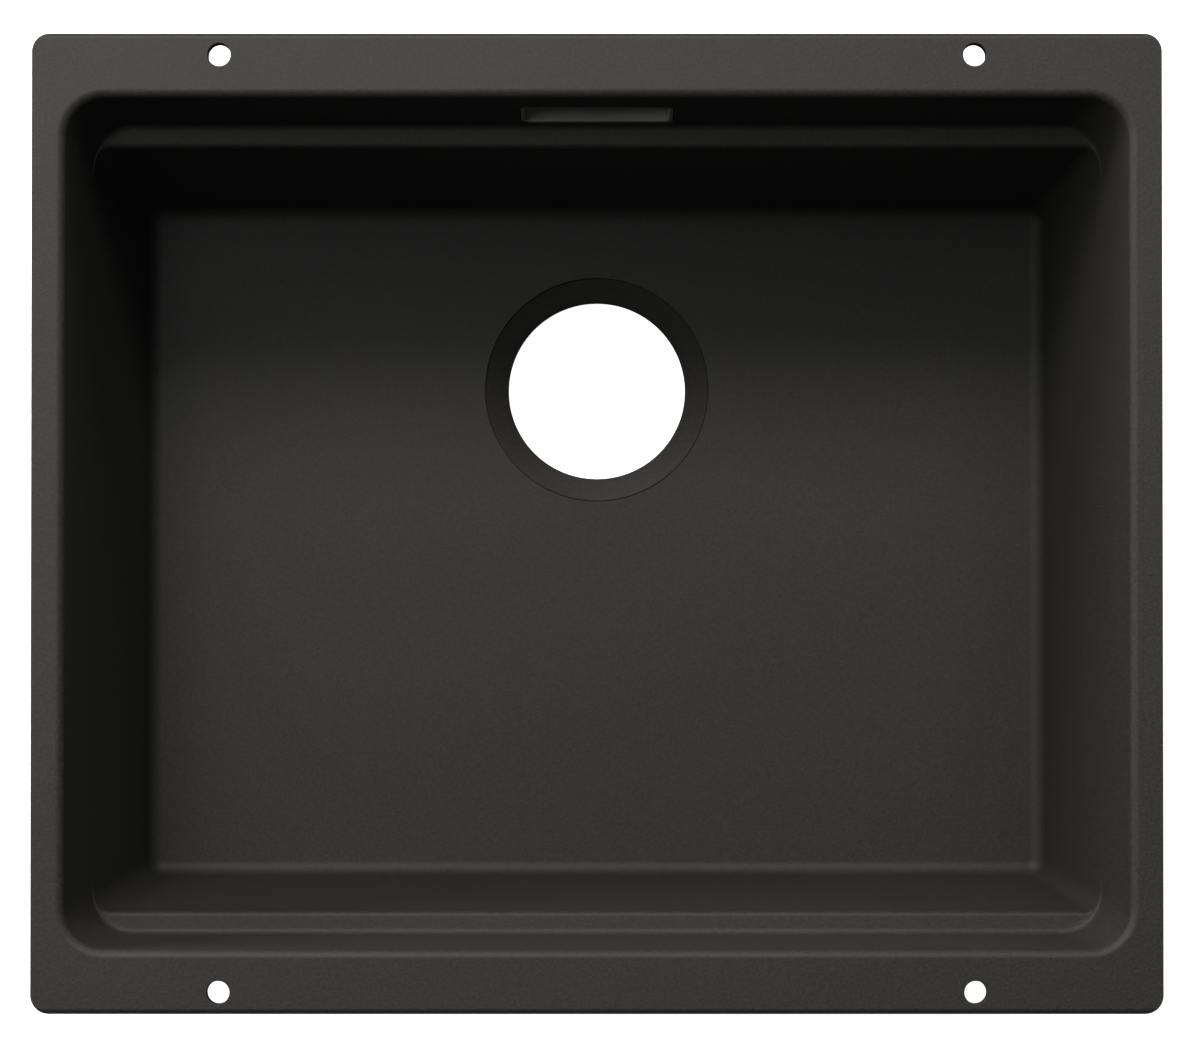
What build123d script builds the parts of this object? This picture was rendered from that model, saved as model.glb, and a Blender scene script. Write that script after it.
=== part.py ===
from build123d import *

import math
import os
from dataclasses import dataclass

# An undermount kitchen sink: a bowl cast in granite composite, with a concealed
# overflow screwed to the back of its rear wall.
# X runs to the right, Y to the rear and Z up. The origin is on the flange's top
# face, midway between the four fixing holes. Sizes are in millimetres, slopes in
# degrees from upright.

# Inside of the bowl
BOWL_LENGTH = 500.0
BOWL_WIDTH = 400.0
BOWL_DEPTH = 190.0
RIM_ROUND = 4.3
SIDE_DRAFT = 7.0
UPPER_DRAFT = 5.0
LOWER_DRAFT = 6.5
FLOOR_ROUND = 7.8
MOUTH_CORNER = 19.0
FLOOR_CORNER = 11.0

# Flange round the bowl's mouth, which is clamped up against the worktop
FLANGE_AT_SIDES = 15.0
FLANGE_AT_ENDS = 30.0
FLANGE_THICKNESS = 7.5
FLANGE_CORNER = 9.0
FLANGE_EDGE_ROUND = 2.8
FLANGE_LENGTH = BOWL_LENGTH + 2 * FLANGE_AT_SIDES
FLANGE_WIDTH = BOWL_WIDTH + 2 * FLANGE_AT_ENDS

# Holes for the worktop fixings, placed from the flange's edges
FIXING_FROM_SIDE = 87.8
FIXING_FROM_END = 10.25
FIXING_HOLE = 10.7
FIXING_HOLE_BREAK = 0.5
FIXING_SPACING_X = FLANGE_LENGTH - 2 * FIXING_FROM_SIDE
FIXING_SPACING_Y = FLANGE_WIDTH - 2 * FIXING_FROM_END

# Ledge along the front and rear walls, which carries a board or a grid
LEDGE_DROP = 60.0
LEDGE_WIDTH = 11.0
LEDGE_FALL = 0.4
LEDGE_FOOT_ROUND = 4.2
LEDGE_LIP_ROUND = 3.0

# Thickness of the casting and the rounds of its outside
WALL = 8.5
FLOOR_THICKNESS = 13.0
UNDER_FLANGE_ROUND = 6.0
STEP_FALL = 4.0
STEP_ROUND = 5.0
BASE_ROUND = 14.0

# Drain hole, with the seat of a basket strainer round it
DRAIN_FROM_REAR = 122.5
DRAIN_HOLE = 90.0
SEAT_DIAMETER = 114.0
SEAT_STEP = 2.0
SEAT_FALL = 6.0

# Overflow window in the rear wall: its clear opening
WINDOW_WIDTH = 69.0
WINDOW_HEIGHT = 29.0
WINDOW_DROP = 38.8
WINDOW_CORNER = 2.8

# Pad on the back of the rear wall, which the overflow is screwed to
PAD_PROUD = 1.5
PAD_MARGIN = 3.0
PAD_CORNER = 6.0

# Overflow collector
THROAT_WALL = 1.8
THROAT_CLEARANCE = 0.4
THROAT_SET_BACK = 0.4
GASKET_THICKNESS = 2.0
GASKET_WIDTH = 7.5
GASKET_CLEARANCE = 0.3
PLATE_THICKNESS = 2.5
COLLECTOR_WALL = 2.0
CHAMBER_DEPTH = 11.5
CHAMBER_CORNER = 1.5
HOPPER_HEIGHT = 20.0
NECK_EASE = 0.5
COVER_SPLIT = 4.0

# Screws, washers and cast-in inserts of the overflow
SCREW_SPACING = 104.0
SCREW_DIAMETER = 4.8
SCREW_REACH = 7.0
SCREW_HEAD = 9.5
SCREW_HEAD_HEIGHT = 3.2
SCREW_HEAD_BEVEL = 1.0
SCREW_SLOT = 1.4
SCREW_HOLE = 5.5
WASHER_DIAMETER = 10.5
WASHER_THICKNESS = 1.0
EAR_WIDTH = 14.0
EAR_BOSS = 12.0
INSERT_DIAMETER = 7.0
INSERT_BORE = 5.0
INSERT_LENGTH = 8.0
INSERT_CLEARANCE = 0.05
INSERT_SUNK = 0.3

# Outlet gland for the overflow hose
OUTLET_BORE = 22.0
OUTLET_THREAD = 28.0
OUTLET_LENGTH = 20.0
COLLAR_DIAMETER = 31.0
COLLAR_HEIGHT = 4.0
MOUTH_WIDENING = 2.2
MOUTH_HEIGHT = 6.0
SEAL_EASE = 0.2
SEAL_FLANGE = 1.6
SEAL_TIP = 3.0
NUT_CLEARANCE = 0.3
NUT_HEIGHT = 16.0
NUT_WALL = 2.7
NUT_LIP = 2.0
NUT_OPENING = 24.0
NUT_RIB = 1.0
NUT_RIB_WIDTH = 1.8
NUT_RIBS = 20
NUT_TO_BOWL = 1.8

# Steps in which a round is drawn, from one tangent to the other
INSIDE_STEPS = 5
OUTSIDE_STEPS = 3
# Leg of a cut corner that turns a square of side 1 into a regular octagon
OCTAGON_LEG = 1 - 1 / math.sqrt(2)
# How far a cutting tool runs past the face that it opens
OVERRUN = 5.0


@dataclass(frozen=True)
class Wall:
    """One sloping wall in section, eased into a level face above and one below.

    top and bottom are the heights of those faces. reach is how far the wall's
    straight line stands from the middle of the bowl at the height of the top face.
    steps is how many flats draw each round.
    """

    top: float
    reach: float
    draft: float
    lip_round: float
    bottom: float
    foot_round: float
    steps: int

    def line(self, height):
        """Distance from the middle to the wall's straight line."""
        return self.reach - (self.top - height) * math.tan(math.radians(self.draft))

    def reach_at(self, height):
        """Distance from the middle to the wall itself, rounds included."""
        lean = math.radians(self.draft)
        lip_axis = self.top - self.lip_round
        foot_axis = self.bottom + self.foot_round
        if height > lip_axis + self.lip_round * math.sin(lean):
            centre = self.line(lip_axis) + self.lip_round / math.cos(lean)
            return centre - math.sqrt(max(self.lip_round**2 - (height - lip_axis) ** 2, 0))
        if height < foot_axis - self.foot_round * math.sin(lean):
            centre = self.line(foot_axis) - self.foot_round / math.cos(lean)
            return centre + math.sqrt(max(self.foot_round**2 - (foot_axis - height) ** 2, 0))
        return self.line(height)

    def heights(self):
        """Heights of the sections that draw the wall, from the top down.

        One halfway down the straight stretch keeps the corners' facets short.
        """
        turn = [
            math.sin(math.radians(self.draft + (90 - self.draft) * step / self.steps))
            for step in range(self.steps + 1)
        ]
        lip = [self.top - self.lip_round * (1 - part) for part in reversed(turn)]
        foot = [self.bottom + self.foot_round * (1 - part) for part in turn]
        return lip + [(lip[-1] + foot[0]) / 2] + foot


def across(thickness, draft):
    """Level distance through a sloping wall of the given thickness."""
    return thickness / math.cos(math.radians(draft))


# Inside of the bowl: the side walls run straight down, the front and rear walls
# step in at the ledge.
SIDE = Wall(
    0,
    BOWL_LENGTH / 2,
    SIDE_DRAFT,
    RIM_ROUND,
    -BOWL_DEPTH,
    FLOOR_ROUND,
    INSIDE_STEPS,
)
UPPER = Wall(
    0,
    BOWL_WIDTH / 2,
    UPPER_DRAFT,
    RIM_ROUND,
    -LEDGE_DROP,
    LEDGE_FOOT_ROUND,
    INSIDE_STEPS,
)
LOWER = Wall(
    -LEDGE_DROP - LEDGE_FALL,
    UPPER.line(-LEDGE_DROP) - LEDGE_WIDTH,
    LOWER_DRAFT,
    LEDGE_LIP_ROUND,
    -BOWL_DEPTH,
    FLOOR_ROUND,
    INSIDE_STEPS,
)

# Outside of the bowl: the same walls, one wall thickness further out.
BASE = -BOWL_DEPTH - FLOOR_THICKNESS
UNDERSIDE = -FLANGE_THICKNESS
STEP = -LEDGE_DROP - WALL
SIDE_SKIN = Wall(
    UNDERSIDE,
    SIDE.line(UNDERSIDE) + across(WALL, SIDE_DRAFT),
    SIDE_DRAFT,
    UNDER_FLANGE_ROUND,
    BASE,
    BASE_ROUND,
    OUTSIDE_STEPS,
)
UPPER_SKIN = Wall(
    UNDERSIDE,
    UPPER.line(UNDERSIDE) + across(WALL, UPPER_DRAFT),
    UPPER_DRAFT,
    UNDER_FLANGE_ROUND,
    STEP,
    STEP_ROUND,
    OUTSIDE_STEPS,
)
LOWER_SKIN = Wall(
    STEP - STEP_FALL,
    LOWER.line(STEP - STEP_FALL) + across(WALL, LOWER_DRAFT),
    LOWER_DRAFT,
    STEP_ROUND,
    BASE,
    BASE_ROUND,
    OUTSIDE_STEPS,
)

# Planes of the overflow, from the bowl's pad to the rear.
PAD_FACE = UPPER_SKIN.reach + PAD_PROUD
PLATE_FRONT = PAD_FACE + GASKET_THICKNESS
PLATE_BACK = PLATE_FRONT + PLATE_THICKNESS
CHAMBER_BACK = PLATE_BACK + CHAMBER_DEPTH
COLLECTOR_BACK = CHAMBER_BACK + COLLECTOR_WALL
WINDOW_TOP = WINDOW_HEIGHT / 2 - WINDOW_DROP
WINDOW_SILL = -WINDOW_HEIGHT / 2 - WINDOW_DROP
GASKET_HOLE_EASE = THROAT_WALL + GASKET_CLEARANCE
GASKET_EASE = GASKET_HOLE_EASE + GASKET_WIDTH
PAD_FOOT = WINDOW_SILL - GASKET_EASE - PAD_MARGIN

# Levels and axis of the outlet below the collector.
HOPPER_TOP = PAD_FOOT
HOPPER_FOOT = HOPPER_TOP - HOPPER_HEIGHT
OUTLET_END = HOPPER_FOOT - OUTLET_LENGTH
SEAL_TOP = OUTLET_END - SEAL_EASE
SEAL_END = SEAL_TOP - SEAL_FLANGE
NUT_SEAT = SEAL_END - NUT_CLEARANCE
NUT_END = NUT_SEAT - NUT_LIP
NUT_TOP = NUT_END + NUT_HEIGHT
NUT_BORE = OUTLET_THREAD / 2 + NUT_CLEARANCE
NUT_REACH = NUT_BORE + NUT_WALL + NUT_RIB
OUTLET_AXIS = LOWER_SKIN.line(NUT_TOP) + NUT_TO_BOWL + NUT_REACH


def corner_at(height):
    """Plan radius of the bowl's inner corners, which tighten towards the floor."""
    return MOUTH_CORNER + (MOUTH_CORNER - FLOOR_CORNER) * height / BOWL_DEPTH


def bowl_form(side, upper, lower, corner_growth, mouth):
    """Solid bowl form, lofted through level sections from the mouth to the floor."""
    sections = []
    for wall in (upper, lower):
        for height in wall.heights():
            ease = wall.reach_at(height) - wall.line(height)
            corner = corner_at(height) + corner_growth + ease
            outline = RectangleRounded(
                2 * side.reach_at(height), 2 * wall.reach_at(height), corner
            )
            sections.append(Pos(0, 0, height) * outline)
    sections.insert(0, Pos(0, 0, mouth - upper.top) * sections[0])
    return loft(sections, ruled=True)


def bowl_hollow():
    """Everything that the water sees, as a solid to cut away."""
    return bowl_form(SIDE, UPPER, LOWER, 0, OVERRUN)


def flange_plate():
    """Flange with rounded corners; its front and rear top edges are rounded over."""
    plan = extrude(RectangleRounded(FLANGE_LENGTH, FLANGE_WIDTH, FLANGE_CORNER), UNDERSIDE)
    section = Pos(0, UNDERSIDE / 2) * Rectangle(FLANGE_WIDTH, FLANGE_THICKNESS)
    top_corners = section.vertices().sort_by(Axis.Y)[-2:]
    section = fillet(top_corners, FLANGE_EDGE_ROUND)
    bar = extrude(Plane.YZ * section, FLANGE_LENGTH / 2, both=True)
    return plan & bar


def fixing_holes():
    """Four plain holes for the worktop fixings, their top edges broken."""
    broken = FIXING_HOLE / 2 + FIXING_HOLE_BREAK
    tool = Pos(0, 0, UNDERSIDE) * Cylinder(
        FIXING_HOLE / 2, 2 * FLANGE_THICKNESS + OVERRUN
    )
    tool += Pos(0, 0, -FIXING_HOLE_BREAK / 2) * Cone(
        FIXING_HOLE / 2, broken, FIXING_HOLE_BREAK
    )
    return GridLocations(FIXING_SPACING_X, FIXING_SPACING_Y, 2, 2) * tool


def drain_tool():
    """Drain hole below the stepped, conical seat of a basket strainer."""
    hole_radius = DRAIN_HOLE / 2
    seat_radius = SEAT_DIAMETER / 2
    floor = -BOWL_DEPTH
    cone_foot = floor - SEAT_STEP - SEAT_FALL
    profile = Polyline(
        (0, floor + OVERRUN),
        (seat_radius, floor + OVERRUN),
        (seat_radius, floor - SEAT_STEP),
        (hole_radius, cone_foot),
        (hole_radius, BASE - OVERRUN),
        (0, BASE - OVERRUN),
        close=True,
    )
    turned = revolve(Plane.XZ * make_face(profile), Axis.Z)
    return Pos(0, BOWL_WIDTH / 2 - DRAIN_FROM_REAR, 0) * turned


def window_prism(ease, front, back):
    """Prism of the window's outline, eased outwards, between two planes."""
    outline = RectangleRounded(
        WINDOW_WIDTH + 2 * ease, WINDOW_HEIGHT + 2 * ease, WINDOW_CORNER + ease
    )
    at = Plane(origin=(0, front, -WINDOW_DROP), x_dir=(1, 0, 0), z_dir=(0, 1, 0))
    return extrude(at * outline, back - front)


def screw_places(depth):
    """Where the two overflow screws stand, as places whose Z points to the rear."""
    return [
        Plane(origin=(side * SCREW_SPACING / 2, depth, -WINDOW_DROP), z_dir=(0, 1, 0))
        for side in (-1, 1)
    ]


def rear_pad():
    """Flat pad round the window, grown out of the rear wall and the flange."""
    width = SCREW_SPACING + EAR_WIDTH + 2 * PAD_MARGIN
    height = UNDERSIDE - PAD_FOOT
    outline = Rectangle(width, height)
    outline = fillet(outline.vertices().sort_by(Axis.Y)[:2], PAD_CORNER)
    at = Plane(
        origin=(0, PAD_FACE, PAD_FOOT + height / 2), x_dir=(1, 0, 0), z_dir=(0, -1, 0)
    )
    return extrude(at * outline, PAD_FACE - UPPER.line(PAD_FOOT))


def insert_holes():
    """Blind holes that the threaded inserts are cast into."""
    depth = INSERT_LENGTH + INSERT_SUNK
    radius = INSERT_DIAMETER / 2 + INSERT_CLEARANCE
    drill = Cylinder(
        radius, depth + OVERRUN, align=(Align.CENTER, Align.CENTER, Align.MIN)
    )
    return [place * drill for place in screw_places(PAD_FACE - depth)]


def sink_bowl():
    """The cast bowl: flange, skin and pad, less the hollow and every hole."""
    bowl = flange_plate()
    bowl += bowl_form(SIDE_SKIN, UPPER_SKIN, LOWER_SKIN, WALL, UNDERSIDE / 2)
    bowl += rear_pad()
    bowl -= bowl_hollow()
    bowl -= drain_tool()
    bowl -= fixing_holes()
    behind = UPPER.line(WINDOW_SILL) - OVERRUN
    bowl -= window_prism(THROAT_WALL + THROAT_CLEARANCE, behind, PAD_FACE + OVERRUN)
    for hole in insert_holes():
        bowl -= hole
    return bowl


def overflow_gasket():
    """Flat rubber ring squeezed between the pad and the collector's plate."""
    ring = window_prism(GASKET_EASE, PAD_FACE, PLATE_FRONT)
    return ring - window_prism(GASKET_HOLE_EASE, PAD_FACE - OVERRUN, COLLECTOR_BACK)


def collector_plate():
    """Plate against the gasket, with a screw ear and a spacer boss at each end."""
    plate = window_prism(GASKET_EASE, PLATE_FRONT, PLATE_BACK)
    at = Plane(origin=(0, PLATE_FRONT, -WINDOW_DROP), x_dir=(1, 0, 0), z_dir=(0, 1, 0))
    plate += extrude(at * SlotCenterToCenter(SCREW_SPACING, EAR_WIDTH), PLATE_THICKNESS)
    for place in screw_places(PAD_FACE):
        plate += place * Cylinder(
            EAR_BOSS / 2,
            GASKET_THICKNESS,
            align=(Align.CENTER, Align.CENTER, Align.MIN),
        )
    for place in screw_places(PLATE_FRONT):
        plate -= place * Cylinder(SCREW_HOLE / 2, 4 * PLATE_THICKNESS)
    return plate


def cut_outline(width, depth, leg, middle, level):
    """Points of a level rectangle with its corners cut off at 45 degrees."""
    side, end = width / 2, depth / 2
    quarter = [(side, end - leg), (side - leg, end)]
    half = quarter + [(-x, y) for x, y in reversed(quarter)]
    outline = half + [(-x, -y) for x, y in half]
    return [(x, middle + y, level) for x, y in outline]


def flat_sided(top, foot):
    """Solid with flat faces between two outlines that have as many points."""
    sides = [
        (top[point - 1], top[point], foot[point], foot[point - 1])
        for point in range(len(top))
    ]
    faces = [Face(Wire.make_polygon(corners)) for corners in [top, foot] + sides]
    return Solid(Shell(faces))


def collector_form(wall):
    """Chamber and hopper as one solid, grown outwards by a wall.

    Both ends of the hopper have cut corners, so that all of its faces are flat.
    """
    growth = 2 * wall
    chamber_middle = (PLATE_BACK + CHAMBER_BACK) / 2
    chamber_size = (
        WINDOW_WIDTH + growth,
        CHAMBER_DEPTH + growth,
        CHAMBER_CORNER + growth * OCTAGON_LEG,
    )
    neck_width = OUTLET_BORE + 2 * NECK_EASE + growth
    neck_size = (neck_width, neck_width, neck_width * OCTAGON_LEG)
    top = cut_outline(*chamber_size, chamber_middle, WINDOW_TOP + wall)
    waist = cut_outline(*chamber_size, chamber_middle, HOPPER_TOP)
    foot = cut_outline(*neck_size, OUTLET_AXIS, HOPPER_FOOT)
    return flat_sided(top, waist) + flat_sided(waist, foot)


def down_cylinder(radius, top, bottom):
    """Upright cylinder on the outlet's axis between two heights."""
    return Pos(0, OUTLET_AXIS, (top + bottom) / 2) * Cylinder(radius, top - bottom)


def collector_whole():
    """Collector, cover and funnel in one, before they are split."""
    whole = collector_form(COLLECTOR_WALL)
    whole = chamfer(whole.faces().sort_by(Axis.Z)[-1].edges(), COLLECTOR_WALL / 2)
    whole += collector_plate()
    whole += window_prism(THROAT_WALL, UPPER.line(WINDOW_SILL), PLATE_FRONT)
    whole += down_cylinder(COLLAR_DIAMETER / 2, HOPPER_FOOT, HOPPER_FOOT - COLLAR_HEIGHT)
    whole += down_cylinder(OUTLET_THREAD / 2, HOPPER_FOOT, OUTLET_END)
    whole -= collector_form(0)
    whole -= window_prism(0, UPPER.line(WINDOW_SILL) - OVERRUN, CHAMBER_BACK)
    whole -= down_cylinder(OUTLET_BORE / 2, HOPPER_FOOT + NECK_EASE, OUTLET_END - OVERRUN)
    mouth = Cone(OUTLET_BORE / 2 + MOUTH_WIDENING, OUTLET_BORE / 2, MOUTH_HEIGHT)
    whole -= Pos(0, OUTLET_AXIS, OUTLET_END + MOUTH_HEIGHT / 2) * mouth
    return whole - Pos(0, THROAT_SET_BACK, 0) * bowl_hollow()


def cover_space():
    """Space behind the split line and above the hopper, which the cover takes."""
    front = PLATE_BACK + COVER_SPLIT
    return Pos(0, front, HOPPER_TOP) * Box(
        2 * WINDOW_WIDTH,
        2 * CHAMBER_DEPTH,
        UNDERSIDE - HOPPER_TOP,
        align=(Align.CENTER, Align.MIN, Align.MIN),
    )


def funnel_space():
    """Space below the chamber, which the hopper and the outlet take."""
    return Pos(0, PLATE_BACK, HOPPER_TOP) * Box(
        2 * WINDOW_WIDTH,
        4 * COLLAR_DIAMETER,
        HOPPER_TOP - OUTLET_END + OVERRUN,
        align=(Align.CENTER, Align.CENTER, Align.MAX),
    )


def threaded_inserts():
    """Brass inserts, cast into the pad for the overflow's screws."""
    body = Cylinder(INSERT_DIAMETER / 2, INSERT_LENGTH)
    body -= Cylinder(INSERT_BORE / 2, INSERT_LENGTH)
    middle = PAD_FACE - INSERT_SUNK - INSERT_LENGTH / 2
    return [place * body for place in screw_places(middle)]


def washers():
    """Plain washers under the screw heads."""
    body = Cylinder(
        WASHER_DIAMETER / 2,
        WASHER_THICKNESS,
        align=(Align.CENTER, Align.CENTER, Align.MIN),
    )
    body -= Cylinder(SCREW_HOLE / 2, 4 * WASHER_THICKNESS)
    return [place * body for place in screw_places(PLATE_BACK)]


def screws():
    """Cross-slotted screws through the ears into the inserts."""
    under_head = PLATE_BACK + WASHER_THICKNESS
    length = under_head - PAD_FACE + SCREW_REACH
    shank = Pos(0, 0, -length / 2) * Cylinder(SCREW_DIAMETER / 2, length)
    head = Pos(0, 0, SCREW_HEAD_HEIGHT / 2) * Cylinder(SCREW_HEAD / 2, SCREW_HEAD_HEIGHT)
    head = chamfer(head.edges().sort_by(Axis.Z)[-1], SCREW_HEAD_BEVEL)
    screw = shank + head
    for turn in (0, 90):
        screw -= Pos(0, 0, SCREW_HEAD_HEIGHT) * Rot(0, 0, turn) * Box(
            SCREW_HEAD / 2, SCREW_SLOT, SCREW_HEAD_HEIGHT
        )
    return [place * screw for place in screw_places(under_head)]


def outlet_seal():
    """Conical rubber ring that closes on the hose when the nut is tightened."""
    bore = OUTLET_BORE / 2 + SEAL_EASE
    rim = OUTLET_THREAD / 2 - SEAL_EASE
    mouth = OUTLET_BORE / 2 + MOUTH_WIDENING
    tip = SEAL_TOP + SEAL_TIP
    profile = Polyline(
        (bore, SEAL_END),
        (rim, SEAL_END),
        (rim, SEAL_TOP),
        (mouth, SEAL_TOP),
        (mouth - MOUTH_WIDENING * SEAL_TIP / MOUTH_HEIGHT, tip),
        (bore, tip),
        close=True,
    )
    return Pos(0, OUTLET_AXIS, 0) * revolve(Plane.XZ * make_face(profile), Axis.Z)


def outlet_nut():
    """Union nut with grip ribs; its lip presses the seal into the outlet's mouth."""
    outer = NUT_BORE + NUT_WALL
    nut = down_cylinder(outer, NUT_TOP, NUT_END)
    nut = chamfer(nut.edges().filter_by(GeomType.CIRCLE), NUT_RIB / 2)
    middle = Pos(0, OUTLET_AXIS, (NUT_TOP + NUT_END) / 2)
    for place in PolarLocations(outer, NUT_RIBS):
        nut += middle * place * Box(2 * NUT_RIB, NUT_RIB_WIDTH, NUT_HEIGHT - 2 * NUT_RIB)
    nut -= down_cylinder(NUT_BORE, NUT_TOP + OVERRUN, NUT_SEAT)
    nut -= down_cylinder(NUT_OPENING / 2, NUT_TOP, NUT_END - OVERRUN)
    return nut


def build_all():
    """Every sub-part of the sink, by the name of its node."""
    whole = collector_whole()
    cover = cover_space()
    funnel = funnel_space()
    return {
        "sink_bowl": sink_bowl(),
        "overflow_gasket": overflow_gasket(),
        "overflow_collector": whole - cover - funnel,
        "overflow_cover": whole & cover,
        "outlet_funnel": whole & funnel,
        "overflow_inserts": Compound(threaded_inserts()),
        "overflow_washers": Compound(washers()),
        "overflow_screws": Compound(screws()),
        "outlet_seal": outlet_seal(),
        "outlet_nut": outlet_nut(),
    }


os.makedirs("parts", exist_ok=True)
for node, shape in build_all().items():
    export_step(shape, f"parts/{node}.step")
    print(node, round(shape.volume), "mm3")
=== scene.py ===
"""Looks of an undermount kitchen sink cast in dark granite composite.

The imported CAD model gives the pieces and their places. This script dresses them:
it moulds a finely rounded casting over the CAD bowl and a threaded funnel over
the plain CAD one, runs weld beads along the seams of the overflow, gives every
piece a worked finish, and sets the camera and the lights.
X runs to the right, Y to the rear and Z up. Sizes are in millimetres and become
metres as each mesh is made; the studio's and the camera's are in metres already.
"""

import logging
import math
from dataclasses import dataclass
from enum import Enum
from typing import Callable, Iterable, Sequence

import bmesh
import bpy
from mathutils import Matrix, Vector


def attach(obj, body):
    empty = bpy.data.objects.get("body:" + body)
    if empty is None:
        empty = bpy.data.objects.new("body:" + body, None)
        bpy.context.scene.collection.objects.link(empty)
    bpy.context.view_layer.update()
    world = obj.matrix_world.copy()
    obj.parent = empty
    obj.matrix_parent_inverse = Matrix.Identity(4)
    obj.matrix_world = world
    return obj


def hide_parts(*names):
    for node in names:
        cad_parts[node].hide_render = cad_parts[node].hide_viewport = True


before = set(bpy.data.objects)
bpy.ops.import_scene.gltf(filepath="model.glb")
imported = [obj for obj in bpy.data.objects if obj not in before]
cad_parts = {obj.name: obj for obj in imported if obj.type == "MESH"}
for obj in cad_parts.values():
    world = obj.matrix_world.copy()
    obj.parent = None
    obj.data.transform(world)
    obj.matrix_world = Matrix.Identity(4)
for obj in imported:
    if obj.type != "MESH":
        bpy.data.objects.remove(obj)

# Metres in a millimetre.
MM = 0.001

# The same for every piece; lengths are in millimetres and angles in degrees.
MERGE_GAP = 0.002
FACET_GAP = 0.001
CREASE_ANGLE = 32.0
BEVEL_ANGLE = 38.0
BEAD_RADIUS = 0.55
BEAD_FLATS = 10
MITRE_LIMIT = 0.4
ROUND_GAP = 0.0001

# What a corner of a regular octagon cuts off its square's side.
OCTAGON_LEG = 1 - 1 / math.sqrt(2)

LOG = logging.getLogger("sink")
Piece = bpy.types.Object
Material = bpy.types.Material
Socket = bpy.types.NodeSocket
Colour = tuple[float, float, float]
FlatPoint = tuple[float, float]
Point = tuple[float, float, float]
Outline = list[Point]
WARM_WHITE: Colour = (1.0, 0.985, 0.965)
SKIRT_AIM: Point = (0.0, 0.0, -0.11)


class Body(Enum):
    """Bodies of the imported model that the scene's own pieces ride on."""

    SINK = "sink"


class Slot(Enum):
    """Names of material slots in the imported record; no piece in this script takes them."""

    COMPOSITE = "composite"
    GREY_PLASTIC = "grey_plastic"


class Cut(Enum):
    """Ways in which one closed mesh can be worked with another."""

    JOIN = "UNION"
    TAKE_AWAY = "DIFFERENCE"
    KEEP_COMMON = "INTERSECT"


# ---- Meshes ----


def make_object(name: str, points: Sequence[Point], faces: Sequence[Sequence[int]]) -> Piece:
    """Makes a mesh object from points in millimetres.

    Args:
        name: Name of the object and of its mesh.
        points: Corners of the mesh.
        faces: Corner numbers of each face.

    Returns:
        The object, linked to the scene, with its faces turned outwards.
    """
    mesh = bpy.data.meshes.new(name)
    mesh.from_pydata([Vector(point) * MM for point in points], [], faces)
    work = bmesh.new()
    work.from_mesh(mesh)
    bmesh.ops.recalc_face_normals(work, faces=work.faces)
    work.to_mesh(mesh)
    work.free()
    made = bpy.data.objects.new(name, mesh)
    bpy.context.scene.collection.objects.link(made)
    return made


def loft(name: str, rings: Sequence[Outline], closed_ends: bool = True) -> Piece:
    """Skins a stack of rings that all have as many points.

    Args:
        name: Name of the object.
        rings: Rings from one end to the other.
        closed_ends: Whether a face closes each end; if not, the last ring
            joins the first.

    Returns:
        The closed mesh.
    """
    count = len(rings[0])
    points = [point for ring in rings for point in ring]
    faces: list[Sequence[int]] = []
    spans = len(rings) - 1 if closed_ends else len(rings)
    for row in range(spans):
        here, there = row * count, (row + 1) % len(rings) * count
        for step in range(count):
            after = (step + 1) % count
            faces.append((here + step, here + after, there + after, there + step))
    if closed_ends:
        faces.append(tuple(range(count)))
        faces.append(tuple(range(len(points) - count, len(points))))
    return make_object(name, points, faces)


def rounded_outline(half_x: float, half_y: float, corner: float, steps: int) -> list[FlatPoint]:
    """Points round a rectangle with round corners.

    Args:
        half_x: Half of its length.
        half_y: Half of its width.
        corner: Radius of its corners.
        steps: Flats in which each corner is drawn.

    Returns:
        The points, anticlockwise.
    """
    outline = []
    for quarter, (side_x, side_y) in enumerate(((1, 1), (-1, 1), (-1, -1), (1, -1))):
        middle_x, middle_y = side_x * (half_x - corner), side_y * (half_y - corner)
        for step in range(steps + 1):
            turn = math.radians(90 * (quarter + step / steps))
            outline.append((middle_x + corner * math.cos(turn), middle_y + corner * math.sin(turn)))
    return outline


def led_in(outline: Sequence[FlatPoint], length: float, steps: int) -> list[FlatPoint]:
    """Outline with extra points on its sides in X, just before each round corner.

    Args:
        outline: Four corners of as many points each, anticlockwise from +X.
        length: How far before the corner the extra points start.
        steps: How many there are at each corner.

    Returns:
        The points, in the same order.
    """
    count = len(outline) // 4
    led: list[FlatPoint] = []
    for quarter in range(4):
        arc = list(outline[quarter * count : (quarter + 1) * count])
        x, y = arc[-1] if quarter % 2 else arc[0]
        start = math.copysign(abs(y) - length, y)
        lead = [(x, start + (y - start) * step / steps) for step in range(steps)]
        led += arc + lead[::-1] if quarter % 2 else lead + arc
    return led


def held_in(outline: Sequence[FlatPoint], half_x: float, half_y: float, corner: float) -> list[FlatPoint]:
    """Outline with its corner points pulled in to those of a round-cornered rectangle.

    Args:
        outline: Points in X and Y.
        half_x: Half of the rectangle's length.
        half_y: Half of its width.
        corner: Radius of its corners.

    Returns:
        The points, as many and in the same order.
    """
    held = []
    for x, y in outline:
        over_x, over_y = abs(x) - half_x + corner, abs(y) - half_y + corner
        if over_x > 0 and over_y > 0 and math.hypot(over_x, over_y) > corner:
            scale = corner / math.hypot(over_x, over_y)
            x = math.copysign(half_x - corner + over_x * scale, x)
            y = math.copysign(half_y - corner + over_y * scale, y)
        held.append((x, y))
    return held


def circle_ring(radius: float, height: float, middle_y: float, steps: int) -> Outline:
    """Points round a level circle whose middle stands on X = 0."""
    turns = [math.tau * step / steps for step in range(steps)]
    return [(radius * math.cos(turn), middle_y + radius * math.sin(turn), height) for turn in turns]


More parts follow.
